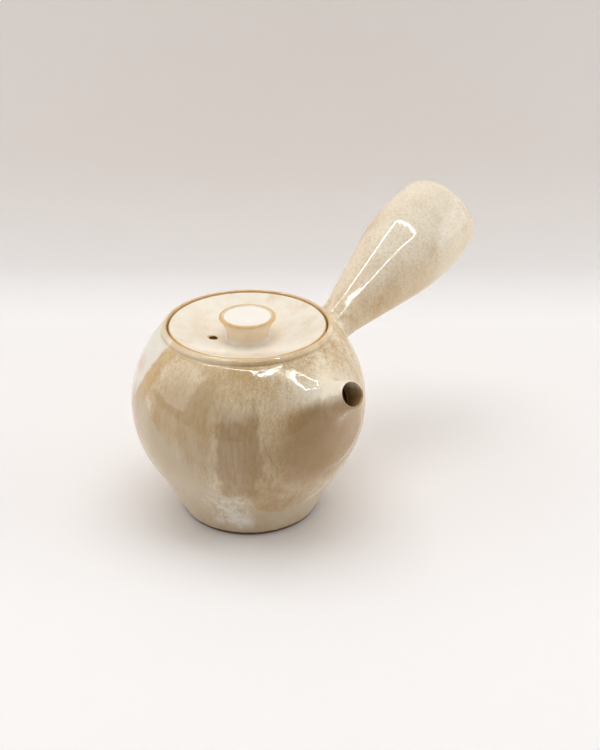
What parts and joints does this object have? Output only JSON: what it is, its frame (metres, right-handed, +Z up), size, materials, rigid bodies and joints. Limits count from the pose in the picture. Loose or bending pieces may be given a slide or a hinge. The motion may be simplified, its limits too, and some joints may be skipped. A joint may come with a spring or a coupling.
{
  "type": "side-handled teapot",
  "caption": "Side-handled ceramic teapot with a short spout at a right angle to its hollow handle, an inner strainer and a sunken lid with a flared knob that lifts off.",
  "frame": {"origin": "centre of the round foot, on the surface the pot stands on", "axes": "+Z up along the pot's turning axis, +X above the handle, -Y above the spout"},
  "size_m": [0.1705, 0.1112, 0.1178],
  "materials": {
    "pot_glaze": "glossy beige ash glaze on stoneware, bare at the foot",
    "lid_glaze": "glossy cream ash glaze on stoneware",
    "strainer_glaze": "thin glossy glaze on stoneware"
  },
  "bodies": {
    "pot": {"pot_body": "pot_glaze", "spout": "pot_glaze", "strainer": "strainer_glaze", "handle": "pot_glaze"},
    "lid": {"lid": "lid_glaze", "lid_knob": "lid_glaze"}
  },
  "joints": [
    {"name": "lid_lift", "type": "slide", "parent": "pot", "child": "lid", "axis": [0, 0, 1], "range_m": [0, 0.06]}
  ]
}
